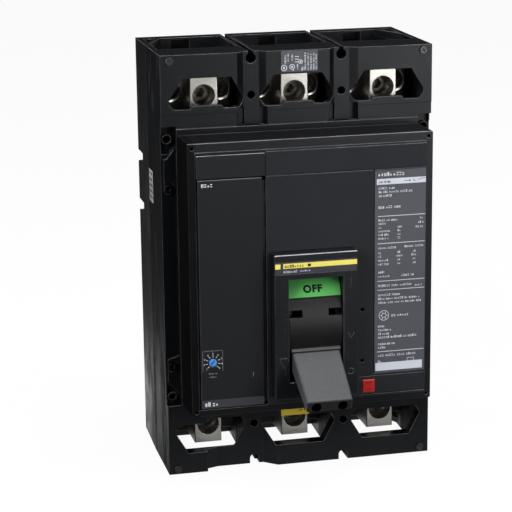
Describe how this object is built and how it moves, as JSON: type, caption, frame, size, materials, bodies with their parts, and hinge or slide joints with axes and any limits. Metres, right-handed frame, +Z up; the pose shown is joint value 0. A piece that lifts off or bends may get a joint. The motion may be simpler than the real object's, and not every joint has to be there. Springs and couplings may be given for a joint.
{
  "type": "molded case circuit breaker",
  "caption": "Molded case breaker with swinging handle, contact bar, cable lugs, trip unit cover, dial and trip button.",
  "frame": {"origin": "centre of the flat back face that sits on the mounting plate", "axes": "+X to the right seen from the front, -Y out of the front toward the operator, +Z up toward the line terminals"},
  "size_m": [0.21, 0.1949, 0.327],
  "materials": {
    "case_black": "molded glass-filled thermoset, satin",
    "cover_black": "fine textured thermoplastic",
    "panel_black": "fine textured thermoplastic",
    "label_grey": "printed film label",
    "label_yellow": "printed film label",
    "label_pale": "worn sticker",
    "handle_grey": "textured",
    "shutter_black": "matt",
    "flag_green": "printed band",
    "flag_red": "printed band",
    "button_red": "molded",
    "dial_blue": "molded",
    "steel": "zinc plated",
    "lug_metal": "tin plated, satin",
    "set_screw_metal": "turned",
    "copper": "bare copper",
    "contact_silver": "silver alloy",
    "fibre": "vulcanised fibre",
    "molded_brown": "phenolic",
    "module_black": "molded",
    "board_green": "circuit board",
    "trip_shaft_plastic": "natural nylon"
  },
  "bodies": {
    "case": {"arc_chute_1": "fibre", "arc_chute_2": "fibre", "arc_chute_3": "fibre", "blank_plate": "panel_black", "circuit_board": "board_green", "corner_screws": "steel", "cover_screws": "steel", "cradle": "steel", "cradle_pin": "steel", "current_sensors": "molded_brown", "deion_plates": "steel", "escutcheon": "cover_black", "escutcheon_label": "label_grey", "fixed_contacts": "contact_silver", "flex_leads": "copper", "front_cover": "cover_black", "handle_shaft": "steel", "line_lug_1": "lug_metal", "line_lug_2": "lug_metal", "line_lug_3": "lug_metal", "line_set_screws": "set_screw_metal", "line_strap_1": "copper", "line_strap_2": "copper", "line_strap_3": "copper", "load_lug_1": "lug_metal", "load_lug_2": "lug_metal", "load_lug_3": "lug_metal", "load_set_screws": "set_screw_metal", "load_strap_1": "copper", "load_strap_2": "copper", "load_strap_3": "copper", "lower_label": "label_yellow", "lug_mount_screws": "steel", "mech_side_plates": "steel", "mid_case": "case_black", "nameplate": "label_grey", "rating_strip": "label_grey", "rear_base": "case_black", "side_label": "label_pale", "top_label": "label_grey", "trip_module": "module_black", "trip_solenoid": "module_black", "trip_unit_cover": "panel_black"},
    "handle": {"handle": "handle_grey", "off_flag": "flag_green", "on_flag": "flag_red", "handle_yoke": "steel", "main_springs": "steel"},
    "shutter": {"handle_shutter": "shutter_black"},
    "contact_bar": {"crossbar": "molded_brown", "contact_arm_1": "copper", "contact_arm_2": "copper", "contact_arm_3": "copper", "moving_contacts": "contact_silver"},
    "upper_link": {"upper_link": "steel"},
    "lower_link": {"lower_link": "steel"},
    "button": {"trip_button": "button_red"},
    "trip_shaft": {"trip_shaft": "trip_shaft_plastic"},
    "dial": {"dial": "dial_blue"}
  },
  "joints": [
    {"name": "handle_swing", "type": "hinge", "parent": "case", "child": "handle", "pos_m": [0, -0.092, -0.0395], "axis": [-1, 0, 0], "range_deg": [-3, 47]},
    {"name": "shutter_swing", "type": "hinge", "parent": "case", "child": "shutter", "pos_m": [0, -0.092, -0.0395], "axis": [-1, 0, 0], "range_deg": [-1.52, 23.52]},
    {"name": "contact_swing", "type": "hinge", "parent": "case", "child": "contact_bar", "pos_m": [0, -0.066, -0.02], "axis": [-1, 0, 0], "range_deg": [-1.93, 30.02]},
    {"name": "upper_link_swing", "type": "hinge", "parent": "case", "child": "upper_link", "pos_m": [0, -0.106, 0.01], "axis": [-1, 0, 0], "range_deg": [-34.94, 2.25]},
    {"name": "lower_link_swing", "type": "hinge", "parent": "contact_bar", "child": "lower_link", "pos_m": [0, -0.08332, -0.01], "axis": [-1, 0, 0], "range_deg": [-32.93, 2.12]},
    {"name": "trip_button_push", "type": "slide", "parent": "case", "child": "button", "axis": [0, 1, 0], "range_m": [0, 0.003], "stiffness_N_per_m": 400},
    {"name": "trip_shaft_turn", "type": "hinge", "parent": "case", "child": "trip_shaft", "pos_m": [0.03, -0.118, -0.06], "axis": [1, 0, 0], "range_deg": [-0.1, 5.75]},
    {"name": "dial_turn", "type": "hinge", "parent": "case", "child": "dial", "pos_m": [-0.0772, -0.145, -0.062], "axis": [0, 1, 0], "range_deg": [0, 270]}
  ],
  "couplings": [
    {"joint": "shutter_swing", "follows": "handle_swing", "ratio": 0.5},
    {"joint": "contact_swing", "follows": "handle_swing", "ratio": 0.6383},
    {"joint": "upper_link_swing", "follows": "handle_swing", "ratio": -0.74296},
    {"joint": "lower_link_swing", "follows": "handle_swing", "ratio": -0.70032},
    {"joint": "trip_shaft_turn", "follows": "trip_button_push", "rad_per_m": 32.58}
  ]
}
